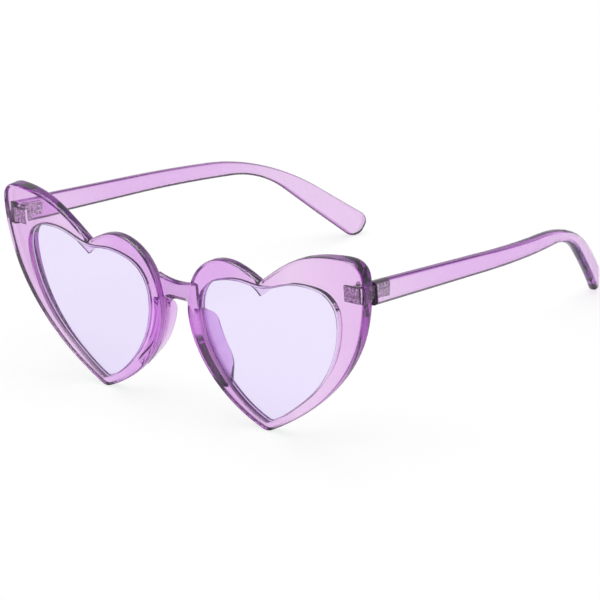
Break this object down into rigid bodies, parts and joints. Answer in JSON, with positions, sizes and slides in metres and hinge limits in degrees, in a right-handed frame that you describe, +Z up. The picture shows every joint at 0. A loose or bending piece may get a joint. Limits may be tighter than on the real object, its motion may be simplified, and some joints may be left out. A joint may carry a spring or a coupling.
{
  "type": "heart-shaped sunglasses",
  "caption": "Heart-rimmed sunglasses in clear lilac plastic, with pale lavender lenses, a low arched bridge, moulded nose pads and folding arms on barrel hinges.",
  "frame": {"origin": "on the ground the open glasses stand on, half way between the front face and the arm ends, in the plane of symmetry", "axes": "+Z up, the front looks along -Y, the arms run back along +Y, +X to the wearer's left"},
  "size_m": [0.146, 0.1476, 0.0602],
  "materials": {
    "frame_plastic": "clear lilac moulding, polished",
    "lens_tint": "pale lavender tint, optically smooth",
    "hinge_metal": "dull stamped metal",
    "screw_metal": "turned metal"
  },
  "bodies": {
    "front": {"front_frame": "frame_plastic", "left_lens": "lens_tint", "left_front_hinge_leaf": "hinge_metal", "left_hinge_screw": "screw_metal", "right_lens": "lens_tint", "right_front_hinge_leaf": "hinge_metal", "right_hinge_screw": "screw_metal"},
    "left_arm": {"left_temple": "frame_plastic", "left_temple_hinge_leaf": "hinge_metal"},
    "right_arm": {"right_temple": "frame_plastic", "right_temple_hinge_leaf": "hinge_metal"}
  },
  "joints": [
    {"name": "left_arm_fold", "type": "hinge", "parent": "front", "child": "left_arm", "pos_m": [0.0682, -0.06377, 0.0491], "axis": [0, 0, 1], "range_deg": [0, 84]},
    {"name": "right_arm_fold", "type": "hinge", "parent": "front", "child": "right_arm", "pos_m": [-0.0682, -0.06377, 0.0491], "axis": [0, 0, -1], "range_deg": [0, 78]}
  ]
}
